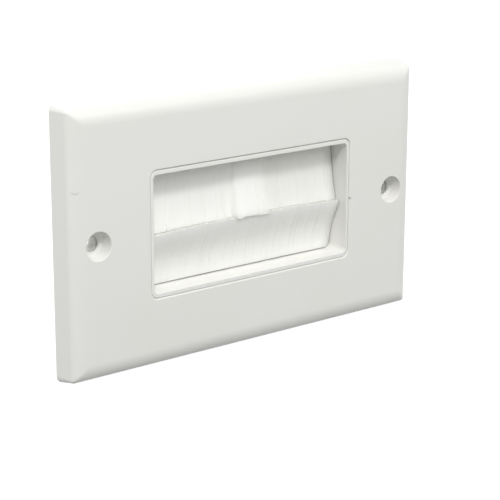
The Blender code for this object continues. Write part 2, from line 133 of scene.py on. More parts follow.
# The plastic's look: noise scales count the waves in a metre
PLASTIC_IOR = 1.5
FLOW_SCALE = 28.0
FLOW_BAND = (0.35, 0.68)
RUB_SCALE = 45.0
RUB_SWING = (-0.02, 0.03)
GRAIN_SCALE = 1900.0
GRAIN_STRENGTH = 0.04
GRAIN_HEIGHT = 0.01 * MM
NOISE_MIDDLE = (0.3, 0.7)
INSERT_WHITE = (0.815, 0.815, 0.785)
INSERT_TINT = (0.80, 0.80, 0.765)
INSERT_ROUGHNESS = 0.32


def rounded(half_x, half_z, corner, y, centre=(0.0, 0.0)):
    """A ring of points at depth y: a rectangle with round corners."""
    points = []
    for quarter, (sign_x, sign_z) in enumerate(((1, 1), (-1, 1), (-1, -1), (1, -1))):
        middle_x = centre[0] + sign_x * (half_x - corner)
        middle_z = centre[1] + sign_z * (half_z - corner)
        for step in range(CORNER_STEPS + 1):
            angle = math.pi / 2 * (quarter + step / CORNER_STEPS)
            x = middle_x + corner * math.cos(angle)
            z = middle_z + corner * math.sin(angle)
            points.append(Vector((x, y, z)))
    return points


def circle(radius, y, centre=(0.0, 0.0), sides=TURNED_SIDES):
    """A round ring of points at depth y."""
    turns = [math.tau * step / sides for step in range(sides)]
    x, z = centre
    return [Vector((x + radius * math.cos(turn), y, z + radius * math.sin(turn))) for turn in turns]


def quarter_turn(steps=EDGE_STEPS):
    """(1 - cos, sin) pairs of a quarter circle, from (0, 0) to (1, 1)."""
    angles = [math.pi / 2 * step / steps for step in range(steps + 1)]
    return [(1 - math.cos(angle), math.sin(angle)) for angle in angles]


def add_object(name, data):
    thing = bpy.data.objects.new(name, data)
    bpy.context.scene.collection.objects.link(thing)
    return thing


def skin(name, rings, endless=False):
    """A closed solid through matching rings. An endless one joins its last ring to its first."""
    builder = bmesh.new()
    rows = [[builder.verts.new(point) for point in ring] for ring in rings]
    pairs = list(zip(rows, rows[1:]))
    if endless:
        pairs.append((rows[-1], rows[0]))
    else:
        builder.faces.new(rows[0])
        builder.faces.new(rows[-1])
    for near, far in pairs:
        for index in range(len(near)):
            after = (index + 1) % len(near)
            builder.faces.new((near[index], near[after], far[after], far[index]))
    bmesh.ops.recalc_face_normals(builder, faces=builder.faces)
    mesh = bpy.data.meshes.new(name)
    builder.to_mesh(mesh)
    builder.free()
    return add_object(name, mesh)


def round_bar(name, radius, front, back, centre):
    """A round bar along Y."""
    return skin(name, [circle(radius, y, centre) for y in (front, back)])


def square_bar(name, half_x, half_z, corner, front, back, centre=(0.0, 0.0)):
    """A bar along Y with round corners."""
    return skin(name, [rounded(half_x, half_z, corner, y, centre) for y in (front, back)])


def eased_block(
    name, half_x, half_z, front, back, corner=BLOCK_CORNER, edge=BLOCK_EDGE, centre=(0.0, 0.0)
):
    """A square bar with its front and back edges rounded."""
    rings = []
    for inward, along in quarter_turn():
        inset = edge * (1 - along)
        y = front + edge * inward
        rings.append(rounded(half_x - inset, half_z - inset, corner - inset, y, centre))
    mirrored = [[Vector((p.x, back + front - p.y, p.z)) for p in ring] for ring in rings]
    return skin(name, rings + mirrored[::-1])


def combine(target, operation, helpers):
    """Joins the helpers to the target, or cuts them from it, and takes them away."""
    for helper in helpers:
        step = target.modifiers.new("combine", "BOOLEAN")
        step.operation = operation
        step.object = helper
        step.solver = "EXACT"
        with bpy.context.temp_override(object=target, active_object=target):
            bpy.ops.object.modifier_apply(modifier=step.name)
        bpy.data.objects.remove(helper, do_unlink=True)


def smooth(piece):
    """Shades the piece smooth, with flat faces kept flat."""
    piece.data.shade_smooth()
    piece.data.set_sharp_from_angle(angle=SHARP_ANGLE)
    weighted = piece.modifiers.new("flat_faces", "WEIGHTED_NORMAL")
    weighted.keep_sharp = True
    return piece


def new_material(name):
    """A material, with its node tree and its main shader."""
    made = bpy.data.materials.new(name)
    made.use_nodes = True
    return made, made.node_tree, made.node_tree.nodes["Principled BSDF"]


def link(tree, start, start_socket, end, end_socket):
    tree.links.new(start.outputs[start_socket], end.inputs[end_socket])


def noise(tree, source, socket, scale, detail):
    node = tree.nodes.new("ShaderNodeTexNoise")
    node.inputs["Scale"].default_value = scale
    node.inputs["Detail"].default_value = detail
    link(tree, source, socket, node, "Vector")
    return node


def spread(tree, source, socket, low, high, band=(0.0, 1.0)):
    """Maps the band of the source to low..high."""
    node = tree.nodes.new("ShaderNodeMapRange")
    node.inputs["From Min"].default_value = band[0]
    node.inputs["From Max"].default_value = band[1]
    node.inputs["To Min"].default_value = low
    node.inputs["To Max"].default_value = high
    link(tree, source, socket, node, "Value")
    return node


def mix_colours(tree, factor, socket, first, second):
    node = tree.nodes.new("ShaderNodeMix")
    node.data_type = "RGBA"
    node.inputs["A"].default_value = (*first, 1.0)
    node.inputs["B"].default_value = (*second, 1.0)
    link(tree, factor, socket, node, "Factor")
    return node


def uneven_roughness(tree, shader, source, roughness, swing):
    """Lets the roughness swing about its own value with the source's noise."""
    low, high = (roughness + step for step in swing)
    rough = spread(tree, source, "Fac", low, high, NOISE_MIDDLE)
    link(tree, rough, "Result", shader, "Roughness")


def fine_bump(tree, shader, source, strength, height):
    bump = tree.nodes.new("ShaderNodeBump")
    bump.inputs["Strength"].default_value = strength
    bump.inputs["Distance"].default_value = height
    link(tree, source, "Fac", bump, "Height")
    link(tree, bump, "Normal", shader, "Normal")


def moulded_plastic(name, body, tint, roughness):
    """Glossy white moulding: cloudy flow tint, uneven shine and a fine moulded grain."""
    made, tree, shader = new_material(name)
    shader.inputs["IOR"].default_value = PLASTIC_IOR
    place = tree.nodes.new("ShaderNodeTexCoord")
    flow = noise(tree, place, "Object", FLOW_SCALE, detail=2.0)
    cloud = spread(tree, flow, "Fac", 0.0, 1.0, FLOW_BAND)
    colour = mix_colours(tree, cloud, "Result", body, tint)
    link(tree, colour, "Result", shader, "Base Color")
    rub = noise(tree, place, "Object", RUB_SCALE, detail=3.0)
    uneven_roughness(tree, shader, rub, roughness, RUB_SWING)
    grain = noise(tree, place, "Object", GRAIN_SCALE, detail=2.0)
    fine_bump(tree, shader, grain, GRAIN_STRENGTH, GRAIN_HEIGHT)
    return made


def finish_piece(piece, material):
    piece.data.materials.clear()
    piece.data.materials.append(material)
    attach(piece, "root")


def collar_rings():
    """Up the collar's outside, over the rim and down through the tunnel to its lip behind."""
    rings = [rounded(RIM_HALF_X, RIM_HALF_Z, RIM_CORNER, FLANGE_FRONT + PAST)]
    for inward, along in quarter_turn():
        inset = RIM_EDGE * inward
        y = COLLAR_FRONT + RIM_EDGE * (1 - along)
        rings.append(rounded(RIM_HALF_X - inset, RIM_HALF_Z - inset, RIM_CORNER - inset, y))
    for inward, along in quarter_turn():
        outset = TUNNEL_EDGE * (1 - along)
        y = COLLAR_FRONT + TUNNEL_EDGE * inward
        corner = TUNNEL_CORNER_FRONT + outset
        rings.append(rounded(TUNNEL_X + outset, TUNNEL_Z + outset, corner, y))
    rings.append(rounded(TUNNEL_X, TUNNEL_Z, TUNNEL_CORNER_BACK, TUNNEL_END))
    lip = [TUNNEL_X + TUNNEL_LIP, TUNNEL_Z + TUNNEL_LIP, TUNNEL_CORNER_BACK + TUNNEL_LIP]
    rings.append(rounded(*lip, TUNNEL_END))
    rings.append(rounded(*lip, FLANGE_FRONT + PAST))
    return rings


def screw_boss(centre):
    """A round boss with an eased edge, in front of an ear."""
    rings = [circle(BOSS_RADIUS, FLANGE_MIDDLE, centre)]
    for inward, along in quarter_turn():
        y = BOSS_FRONT + BLOCK_EDGE * (1 - along)
        rings.append(circle(BOSS_RADIUS - BLOCK_EDGE * inward, y, centre))
    return skin("boss", rings)


def insert_holes():
    """Cutters for the posts' pilot holes and for the ears' tapped holes and slots."""
    cutters = []
    for place in CLAMP_PLACES:
        cutters.append(round_bar("pilot", PILOT_RADIUS, PILOT_FLOOR, CHANNEL_FAR + PAST, place))
    for sign in (-1, 1):
        place = (sign * SCREW_X, 0.0)
        cutters.append(round_bar("tapped", TAPPED_RADIUS, BOSS_FRONT - PAST, PAST, place))
        place = (sign * (SCREW_X - SLOT_STEP), 0.0)
        outline = (SLOT_HALF_X, SLOT_HALF_Z, SLOT_CORNER)
        cutters.append(square_bar("slot", *outline, FLANGE_FRONT - PAST, PAST, place))
    return cutters


def make_insert():
    flange_x = HOUSING_X + FLANGE_MARGIN
    moulding = eased_block("insert_moulding", flange_x, FLANGE_HALF_Z, FLANGE_FRONT, 0.0)
    ears = eased_block("ears", EAR_END, EAR_HALF_Z, FLANGE_FRONT, 0.0)
    housing = eased_block("housing", HOUSING_X, HOUSING_Z, FLANGE_MIDDLE, HOUSING_END)
    bosses = [screw_boss((sign * SCREW_X, 0.0)) for sign in (-1, 1)]
    combine(moulding, "UNION", [ears, housing] + bosses)
    outline = (RIM_HALF_X + SHOULDER_WIDTH, RIM_HALF_Z + SHOULDER_WIDTH, BLOCK_CORNER)
    shoulder = square_bar("shoulder", *outline, SHOULDER_FRONT, FLANGE_FRONT + PAST)
    combine(moulding, "UNION", [shoulder])
    outline = (HOUSING_X - HOUSING_WALL, HOUSING_Z - HOUSING_WALL, BLOCK_CORNER - HOUSING_WALL)
    pocket = square_bar("pocket", *outline, 0.0, HOUSING_END + PAST)
    outline = (TUNNEL_X + GAP, TUNNEL_Z + GAP, RIM_CORNER)
    tunnel = square_bar("tunnel", *outline, SHOULDER_FRONT - PAST, PAST)
    combine(moulding, "DIFFERENCE", [pocket, tunnel])
    combine(moulding, "UNION", [skin("collar", collar_rings(), endless=True)])
    for place in CLAMP_PLACES:
        post = round_bar("post", POST_RADIUS, FLANGE_MIDDLE, CHANNEL_FAR, place)
        combine(moulding, "UNION", [post])
    combine(moulding, "DIFFERENCE", insert_holes())
    return smooth(moulding)


insert_plastic = moulded_plastic("insert_plastic", INSERT_WHITE, INSERT_TINT, INSERT_ROUGHNESS)
insert = make_insert()
finish_piece(insert, insert_plastic)
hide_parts("insert_frame")


# Brush channels
# A strip of zinc-plated steel folded into a narrow U for each brush. It is crimped over the folded
# bristles and lies in the housing with its mouth towards the cable tunnel.

# The steel's look: draw lines along X, and cloudy patches in the plating
DRAW_STRETCH = (0.04, 1.0, 1.0)
DRAW_SCALE = 3200.0
DRAW_SWING = (-0.08, 0.12)
DRAW_STRENGTH = 0.25
DRAW_HEIGHT = 0.02 * MM
PATCH_SCALE = 240.0
PATCH_DIM = 0.82
CHANNEL_GREY = (0.60, 0.61, 0.62)
CHANNEL_ROUGHNESS = 0.36


def drawn_steel(name, colour, roughness):
    """Plated steel with fine draw lines along X and cloudy patches in the plating."""
    made, tree, shader = new_material(name)
    shader.inputs["Metallic"].default_value = 1.0
    place = tree.nodes.new("ShaderNodeTexCoord")
    stretch = tree.nodes.new("ShaderNodeMapping")
    stretch.inputs["Scale"].default_value = DRAW_STRETCH
    link(tree, place, "Object", stretch, "Vector")
    lines = noise(tree, stretch, "Vector", DRAW_SCALE, detail=3.0)
    patches = noise(tree, place, "Object", PATCH_SCALE, detail=3.0)
    tone = spread(tree, patches, "Fac", 0.0, 1.0, NOISE_MIDDLE)
    dim = tuple(PATCH_DIM * channel for channel in colour)
    tint = mix_colours(tree, tone, "Result", colour, dim)
    link(tree, tint, "Result", shader, "Base Color")
    uneven_roughness(tree, shader, lines, roughness, DRAW_SWING)
    fine_bump(tree, shader, lines, DRAW_STRENGTH, DRAW_HEIGHT)
    return made


channel_steel = drawn_steel("channel_steel", CHANNEL_GREY, CHANNEL_ROUGHNESS)
for name in ("upper_brush_channel", "lower_brush_channel"):
    channel = smooth(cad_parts[name])
    finish_piece(channel, channel_steel)


# Core wires
# A straight steel wire runs along inside each channel. The bristles are folded over it, so that
# the crimped channel can't let them slip out.

WIRE_GREY = (0.66, 0.66, 0.67)
WIRE_ROUGHNESS = 0.28

screw_steel = drawn_steel("screw_steel", WIRE_GREY, WIRE_ROUGHNESS)
for name in ("upper_brush_wire", "lower_brush_wire"):
    wire = smooth(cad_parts[name])
    finish_piece(wire, screw_steel)


# Bristles
# Each brush is a long row of very fine white nylon filaments. They leave the channel straight, bow
# towards the room under the pressure of the other row, and are cut to meet it mid-window.

BRISTLE_X = TUNNEL_X - GAP
CHANNEL_MOUTH = TUNNEL_Z + TUNNEL_LIP + GAP
CHANNEL_MIDDLE = GAP + (CHANNEL_FAR - GAP) / 2
WIRE_RADIUS = 0.4 * MM
FOLD_RADIUS = 1.6 * MM
FOLD_Z = 18.78 * MM
ROOT_DEPTH = 0.6 * MM
ROOT_THICKNESS = 2.1 * MM
TIP_THICKNESS = 2.6 * MM
MEETING_HEIGHT = -0.3 * MM
MEETING_SAG = 0.8 * MM
PINCH_LIMIT = 0.93 * TUNNEL_CORNER_BACK

# Where a row has its points along its way out: shares of that way, and numbers of steps
FOLD_START = 0.102
FOLD_END = 0.135
BODY_END = 0.98
FOLD_STEPS = 7
BODY_STEPS = 18

# The surface of a row: bundles under a millimetre wide, and single filaments on them
BUNDLE_WIDTH = 0.9 * MM
BUNDLE_RELIEF = 0.007 * MM
FINE_WIDTH = BUNDLE_WIDTH / 3
FINE_RELIEF = BUNDLE_RELIEF / 2
FILAMENT_PITCH = 0.13 * MM
FILAMENT_RELIEF = 0.003 * MM
FILAMENT_STATIONS = 3
SHALLOW_GROOVE = 0.3
ROOT_RELIEF = 0.35
PARTING_WIDTH = 0.07 * MM
PARTING_DEPTH = 0.25 * MM

# The streaks in a row's tone, and how much each cause adds to them
TONE_SWING = 0.14
STREAK_WIDTH = 0.7 * MM
BUNDLE_TONE = 0.6
FILAMENT_TONE = 0.4
# The grooves between filaments are painted darker, as painted shade
GROOVE_PAINTED_SHADE = 0.25
# How wide the painted shade right of the upper row's clump takes to come in
PAINTED_SHADE_FADE = 4.0 * MM

# Loose filaments on both faces of a row, and the cut ends at its tips
STRAND_RADIUS = 0.045 * MM
STRAND_SIDES = 4
STRAND_POINT = 0.45
STRAND_LEAN = 0.07 * MM
LOOSE_STRANDS = 50
LOOSE_FOLD_STEPS = 3
LOOSE_STEPS = 7
LOOSE_CURL = 1.5
LOOSE_OFFSETS = (-0.044 * MM, 0.004 * MM)
CLEAR_OF_PARTING = 0.01
TIP_STRANDS = 4600
TIP_POINTS = 3
TIP_START = 0.93
TIP_RAGGED = 0.15 * MM
TIP_CROWDING = 1.5
TIP_LAYERS = 0.95
DARKEST_TIP = 0.2

# The clump of upper filaments that hangs in front of the lower row
CLUMP_START = -2.3 * MM
CLUMP_END = 7.6 * MM
CLUMP_FLANK = 0.7 * MM
CLUMP_DROPS = (0.3 * MM, 0.9 * MM)
CLUMP_FORWARD = 1.9 * MM

# The way each row takes: at these shares of its length it has come forward by so many millimetres
UPPER_COURSE = (
    (0.0, 0.103, 0.124, 0.2, 0.4, 0.6, 0.8, 1.0),
    (0.0, 0.5, 1.9, 2.05, 2.45, 2.9, 3.5, 4.25),
)
LOWER_COURSE = (
    (0.0, 0.103, 0.124, 0.2, 0.36, 0.52, 0.68, 0.84, 1.0),
    (0.0, 0.5, 1.85, 2.0, 2.25, 2.8, 3.8, 4.95, 5.75),
)

# A lean is (its centre along X, its reach, how far along X its tips stand from their roots)
UPPER_LEANS = (
    (-25.0 * MM, 4.0 * MM, -2.4 * MM),
    (-2.5 * MM, 3.5 * MM, -2.2 * MM),
    (4.0 * MM, 2.0 * MM, -0.6 * MM),
)
LOWER_LEANS = ((-24.0 * MM, 14.0 * MM, 2.2 * MM), (-3.0 * MM, 6.0 * MM, 0.9 * MM))
LEAN_FADE = 5.0 * MM

# The small sway of the tufts, and the waves in the line of their tips
TUFT_SWAY = 0.12 * MM
TUFT_WIDTH = 2.4 * MM
TIP_WAVE = 0.12 * MM
TIP_WAVE_WIDTH = 1.6 * MM

# A random course turns at points that are off an even spacing by up to this share of it
KNOT_SHIFT = 0.4

# Tones run from the root to the tip as painted shading, and a row with painted shade right of its
# clump loses so much of its tone there.
# Each use of chance adds its own number to the row's seed.
ROWS = {
    "upper": {
        "side": 1, "course": UPPER_COURSE, "leans": UPPER_LEANS, "clump_front": 1,
        "fringe": 0.4 * MM, "partings": (-23.2 * MM, 4.2 * MM, 31.1 * MM),
        "painted_shading": (1.0, 0.66), "painted_shade_right": 0.4, "seed": 21,
    },
    "lower": {
        "side": -1, "course": LOWER_COURSE, "leans": LOWER_LEANS, "clump_front": 0,
        "fringe": 0.35 * MM, "partings": (),
        "painted_shading": (0.3, 1.0), "painted_shade_right": 0.0, "seed": 34,
    },
}

# The nylon's look: single filaments let light through, and it bleeds along in the pack
NYLON_ROUGHNESS = 0.45
NYLON_IOR = 1.53
BLEED_REACH = 2.5 * MM
FILAMENT_DARK = (0.91, 0.915, 0.88)
FILAMENT_LIGHT = (0.965, 0.97, 0.93)
FILAMENT_THROUGH = 0.35
PACK_DARK = (0.80, 0.805, 0.77)
PACK_LIGHT = (0.955, 0.96, 0.92)
PACK_BLEED = 0.5


def in_clump(x):
    """1 inside the clump, 0 away from it, with soft flanks."""
    inside = np.minimum(x - CLUMP_START, CLUMP_END - x) / CLUMP_FLANK
    return np.clip(inside, 0, 1)


def meeting_height(x):
    """The height at which the rows meet, a little lower towards both ends."""
    return MEETING_HEIGHT - MEETING_SAG * (x / BRISTLE_X) ** 2


def wander(x, width, seed):
    """A smooth random course along X with about one swing, from -1 to 1, in each width."""
    dice = np.random.default_rng(seed)
    knots = np.arange(-BRISTLE_X - 2 * width, BRISTLE_X + 3 * width, width)
    knots += dice.uniform(-KNOT_SHIFT, KNOT_SHIFT, len(knots)) * width
    heights = dice.uniform(-1, 1, len(knots))
    place = np.interp(x, knots, np.arange(len(knots)))
    near = np.clip(place.astype(int), 0, len(knots) - 2)
    blend = place - near
    blend = blend * blend * (3 - 2 * blend)
    return heights[near] * (1 - blend) + heights[near + 1] * blend


def come_forward(course, out):
    """How far forward a row is at a share of its length: a smooth curve through its course."""
    shares, places = (np.array(column) for column in course)
    rise = np.diff(places) / np.diff(shares)
    inner = 2 * rise[:-1] * rise[1:] / (rise[:-1] + rise[1:])
    slopes = np.concatenate([rise[:1], inner, rise[-1:]])
    near = np.clip(np.searchsorted(shares, out, side="right") - 1, 0, len(shares) - 2)
    width = shares[near + 1] - shares[near]
    t = np.clip((out - shares[near]) / width, 0, 1)
    start = places[near] * (1 + 2 * t) * (1 - t) ** 2 + slopes[near] * width * t * (1 - t) ** 2
    end = places[near + 1] * t**2 * (3 - 2 * t) - slopes[near + 1] * width * t**2 * (1 - t)
    return (start + end) * MM


def corner_pinch(height):
    """How far the tunnel's round corners draw in the ends of a row at a height from mid-window."""
    rise = np.clip(height - (TUNNEL_Z - TUNNEL_CORNER_BACK), 0, PINCH_LIMIT)
    fade = np.clip((CHANNEL_MOUTH - height) / (CHANNEL_MOUTH - TUNNEL_Z), 0, 1)
    return fade * (TUNNEL_CORNER_BACK - np.sqrt(TUNNEL_CORNER_BACK**2 - rise**2))


def row_point(row, x, out, layer, short=0.0):
    """Where a filament from x is at a share of its way out, in a layer from front -1 to back 1."""
    front = np.clip(-layer, 0, 1)
    clump = row["clump_front"] * in_clump(x)
    fade = np.clip((BRISTLE_X - np.abs(x)) / LEAN_FADE, 0, 1)
    lean = TUFT_SWAY * wander(x, TUFT_WIDTH, row["seed"])
    for centre, reach, most in row["leans"]:
        lean = lean + most * np.exp(-(((x - centre) / reach) ** 2))
    lean = lean * fade
    tip = row["side"] * meeting_height(x) + short
    tip = tip + TIP_WAVE * wander(x, TIP_WAVE_WIDTH, row["seed"] + 1)
    drop = np.interp(x, (CLUMP_START, CLUMP_END), CLUMP_DROPS) * clump
    tip = tip - (drop + row["fringe"] * (1 - in_clump(x + lean))) * front
    bow = np.clip(out, 0, None)
    z = CHANNEL_MOUTH + (tip - CHANNEL_MOUTH) * out
    half = (ROOT_THICKNESS + (TIP_THICKNESS - ROOT_THICKNESS) * bow) / 2
    forward = come_forward(row["course"], bow) + CLUMP_FORWARD * clump * bow
    y = CHANNEL_MIDDLE - forward + layer * half
    along = np.clip(x + lean * bow, -BRISTLE_X, BRISTLE_X) * (1 - corner_pinch(z) / BRISTLE_X)
    return np.stack(np.broadcast_arrays(along, y, row["side"] * z), axis=-1)


def parted(row, x):
    """1 where the row parts, 0 away from there."""
    total = np.zeros_like(x)
    for place in row["partings"]:
        total += np.exp(-(((x - place) / PARTING_WIDTH) ** 2))
    return total


def stations_out(end, fold_steps, steps):
    """Shares of a filament's way out, closest together where it folds over the tunnel's lip."""
    start = [-ROOT_DEPTH / CHANNEL_MOUTH, 0.0]
    folded = np.linspace(FOLD_START, FOLD_END, fold_steps)
    return np.concatenate([start, folded, np.linspace(FOLD_END, end, steps)[1:]])


def tube_faces(rings, around):
    """The four-sided faces of a tube of so many rings, each with so many points around."""
    point = np.arange(around)
    after = (point + 1) % around
    near = np.arange(rings - 1)[:, None] * around
    far = near + around
    return np.stack([near + point, near + after, far + after, far + point], axis=2).reshape(-1, 4)


def new_mesh(name, verts, faces, shade):
    """A faceted piece whose points carry the shade of their filament."""
    mesh = bpy.data.meshes.new(name)
    mesh.from_pydata(verts.reshape(-1, 3), [], faces)
    mesh.update()
    stored = mesh.attributes.new("strand_shade", "FLOAT", "POINT")
    stored.data.foreach_set("value", np.asarray(shade, dtype=np.float32).ravel())
    return add_object(name, mesh)


def packed_body(name, row):
    """The close-packed filaments of a row, as one body that shows each of them as a ridge."""
    dice = np.random.default_rng(row["seed"] + 7)
    filaments = int(2 * BRISTLE_X / FILAMENT_PITCH)
    stations = filaments * FILAMENT_STATIONS + 1
    x = np.linspace(-BRISTLE_X, BRISTLE_X, stations)
    filament = np.arange(stations) // FILAMENT_STATIONS
    between = np.arange(stations) % FILAMENT_STATIONS == 0
    groove = between * dice.uniform(SHALLOW_GROOVE, 1, filaments + 1)[filament]
    rise = BUNDLE_RELIEF * wander(x, BUNDLE_WIDTH, row["seed"] + 2)
    rise += FINE_RELIEF * wander(x, FINE_WIDTH, row["seed"] + 3)
    rise += FILAMENT_RELIEF * (dice.uniform(-0.5, 0.5, filaments + 1)[filament] - groove)

    out = stations_out(BODY_END, FOLD_STEPS, BODY_STEPS)
    reach = np.clip(out, 0, 1)
    lift = rise[:, None] * (ROOT_RELIEF + (1 - ROOT_RELIEF) * reach)
    lift -= PARTING_DEPTH * parted(row, x)[:, None] * reach
    sides = []
    for face in (-1.0, 1.0):
        side = row_point(row, x[:, None], out[None, :], np.full((1, 1), face))
        side[:, :, 1] += face * lift
        sides.append(side)
    ring = np.concatenate([sides[0], sides[1][:, ::-1]], axis=1)

    count = ring.shape[1]
    first = np.arange(count)
    last = (stations - 1) * count + first
    faces = tube_faces(stations, count).tolist() + [first[::-1].tolist(), last.tolist()]
    if row["side"] < 0:
        faces = [face[::-1] for face in faces]

    bundle = 0.5 + 0.5 * wander(x, STREAK_WIDTH, row["seed"] + 4)
    single = dice.uniform(0, 1, filaments + 1)[filament]
    # Streaks of random bundle and filament tone, less the painted shade in the grooves between
    # filaments.
    streaks = BUNDLE_TONE * bundle + FILAMENT_TONE * single - GROOVE_PAINTED_SHADE * groove
    # Painted shade: the upper row is painted darker right of its clump.
    painted_shade_drop = row["painted_shade_right"] * np.clip((x - CLUMP_END) / PAINTED_SHADE_FADE + 0.5, 0, 1)
    # Painted shading from root to tip: the lower row is painted darker at its root down by the
    # ledge, the upper row darker towards its tips.
    tone = np.interp(reach, (0, 1), row["painted_shading"])
    shade = np.concatenate([tone, tone[::-1]]) + (TONE_SWING * (streaks - 0.5) - painted_shade_drop)[:, None]
    return smooth(new_mesh(name, ring, faces, np.clip(shade, 0, 1)))


def strand_mesh(name, lines, shade):
    """A thin four-sided tube along each line of points, narrower at its tip."""
    count, points = lines.shape[:2]
    along = np.gradient(lines, axis=1)
    along /= np.linalg.norm(along, axis=2, keepdims=True)
    across = np.cross(along, (0.0, 1.0, 0.0))
    across /= np.linalg.norm(across, axis=2, keepdims=True)
    other = np.cross(along, across)
    radius = np.full(points, STRAND_RADIUS)
    radius[-1] *= STRAND_POINT
    turns = math.tau * np.arange(STRAND_SIDES) / STRAND_SIDES
    ring = np.cos(turns)[:, None] * across[:, :, None] + np.sin(turns)[:, None] * other[:, :, None]
    verts = lines[:, :, None] + radius[None, :, None, None] * ring

    strand = points * STRAND_SIDES
    starts = np.arange(count)[:, None, None] * strand
    quads = (starts + tube_faces(points, STRAND_SIDES)).reshape(-1, 4)
    side = np.arange(STRAND_SIDES)
    ends = np.stack([side[::-1], strand - STRAND_SIDES + side])
    caps = (starts + ends).reshape(-1, STRAND_SIDES)
    return new_mesh(name, verts, quads.tolist() + caps.tolist(), np.repeat(shade, strand))


def strand_starts(dice, count):
    """Where along the row so many filaments start, by chance."""
    return dice.uniform(-BRISTLE_X + STRAND_RADIUS, BRISTLE_X - STRAND_RADIUS, count)


def stray_lines(row, dice, x, out, layer, growth):
    """Lines of filaments, each cut a little short and led astray by its own amount."""
    short = np.abs(dice.normal(0, TIP_RAGGED, len(x)))[:, None]
    lines = row_point(row, x[:, None], out, layer, short)
    astray = dice.normal(0, STRAND_LEAN, len(x))[:, None] * growth
    lines[:, :, 0] = np.clip(lines[:, :, 0] + astray, -BRISTLE_X, BRISTLE_X)
    return lines


def loose_strands(name, row, face):
    """Filaments that lie on a face of the row, each a little off its neighbours' line."""
    dice = np.random.default_rng(row["seed"] + 11 + int(face))
    x = strand_starts(dice, LOOSE_STRANDS)
    x = x[parted(row, x) < CLEAR_OF_PARTING]
    out = stations_out(1.0, LOOSE_FOLD_STEPS, LOOSE_STEPS)[None, :]
    growth = np.clip(out, 0, 1) ** LOOSE_CURL
    lines = stray_lines(row, dice, x, out, np.full((1, 1), face), growth)
    lines[:, :, 1] += face * dice.uniform(*LOOSE_OFFSETS, len(x))[:, None]
    return strand_mesh(name, lines, dice.uniform(0, 1, len(x)))


def tip_strands(name, row):
    """The cut ends of the filaments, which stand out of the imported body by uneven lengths."""
    dice = np.random.default_rng(row["seed"] + 19)
    x = strand_starts(dice, TIP_STRANDS)
    depth = 2 * dice.uniform(0, 1, TIP_STRANDS) ** TIP_CROWDING - 1
    out = np.linspace(TIP_START, 1.0, TIP_POINTS)[None, :]
    growth = (out - TIP_START) / (1 - TIP_START)
    lines = stray_lines(row, dice, x, out, TIP_LAYERS * depth[:, None], growth)
    return strand_mesh(name, lines, dice.uniform(DARKEST_TIP, 1, TIP_STRANDS))


def bristle_fold(name, side):
    """The hidden loop in the channel, where the filaments turn round the core wire."""
    rings = []
    for x in (-BRISTLE_X, BRISTLE_X):
        ring = []
        for step in range(TURNED_SIDES // 2 + 1):
            angle = math.tau * step / TURNED_SIDES
            y = CHANNEL_MIDDLE - FOLD_RADIUS * math.cos(angle)
            ring.append(Vector((x, y, side * (FOLD_Z + FOLD_RADIUS * math.sin(angle)))))
        for y in (ROOT_THICKNESS / 2, -ROOT_THICKNESS / 2):
            ring.append(Vector((x, CHANNEL_MIDDLE + y, side * (CHANNEL_MOUTH + ROOT_DEPTH))))
        rings.append(ring)
    fold = skin(name, rings)
    round_wire = circle(WIRE_RADIUS + GAP / 2, 0.0)
    hole = []
    for x in (-BRISTLE_X - PAST, BRISTLE_X + PAST):
        hole.append([Vector((x, CHANNEL_MIDDLE + p.x, side * FOLD_Z + p.z)) for p in round_wire])
    combine(fold, "DIFFERENCE", [skin("wire_hole", hole)])
    return smooth(fold)


def nylon(name, dark, light, through=0.0, bleed=0.0):
    """White nylon whose filaments each have their own tone between dark and light, which on the
    packed rows also carries painted shading.
    """
    made, tree, shader = new_material(name)
    shader.inputs["Roughness"].default_value = NYLON_ROUGHNESS
    shader.inputs["IOR"].default_value = NYLON_IOR
    shader.inputs["Subsurface Weight"].default_value = bleed
    shader.inputs["Subsurface Radius"].default_value = (1.0, 1.0, 1.0)
    shader.inputs["Subsurface Scale"].default_value = BLEED_REACH
    stored = tree.nodes.new("ShaderNodeAttribute")
    stored.attribute_name = "strand_shade"
    colour = mix_colours(tree, stored, "Fac", dark, light)
    link(tree, colour, "Result", shader, "Base Color")
    glow = tree.nodes.new("ShaderNodeBsdfTranslucent")
    link(tree, colour, "Result", glow, "Color")
    both = tree.nodes.new("ShaderNodeMixShader")
    both.inputs["Fac"].default_value = through
    link(tree, shader, "BSDF", both, 1)
    link(tree, glow, "BSDF", both, 2)
    link(tree, both, "Shader", tree.nodes["Material Output"], "Surface")
    return made


bristle_nylon = nylon("bristle_nylon", FILAMENT_DARK, FILAMENT_LIGHT, through=FILAMENT_THROUGH)
packed_nylon = nylon("packed_nylon", PACK_DARK, PACK_LIGHT, bleed=PACK_BLEED)
for name, row in ROWS.items():
    pieces = [(packed_body(f"{name}_packed_bristles", row), packed_nylon)]
    pieces.append((tip_strands(f"{name}_tip_filaments", row), bristle_nylon))
    for face_name, face in (("front", -1.0), ("back", 1.0)):
        pieces.append((loose_strands(f"{name}_{face_name}_filaments", row, face), bristle_nylon))
    pieces.append((bristle_fold(f"{name}_bristle_fold", row["side"]), packed_nylon))
    for piece, material in pieces:
        finish_piece(piece, material)
    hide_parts(f"{name}_bristles")


# Clamp bars
# A flat white bar lies across the back of each brush channel and keeps it in the housing. It is
# moulded in the same plastic as the insert and has a screw hole near each end.

BAR_EDGE = 0.3 * MM
BAR_CORNER = 1.0 * MM
HOLE_FLARE = BAR_EDGE / 2


def bar_hole(front, back, centre):
    """A cutter for a screw hole that flares a little at the bar's back face."""
    rings = [circle(PILOT_RADIUS, y, centre) for y in (front - PAST, back - HOLE_FLARE)]
    rings += [circle(PILOT_RADIUS + HOLE_FLARE, y, centre) for y in (back, back + PAST)]
    return skin("bar_hole", rings)


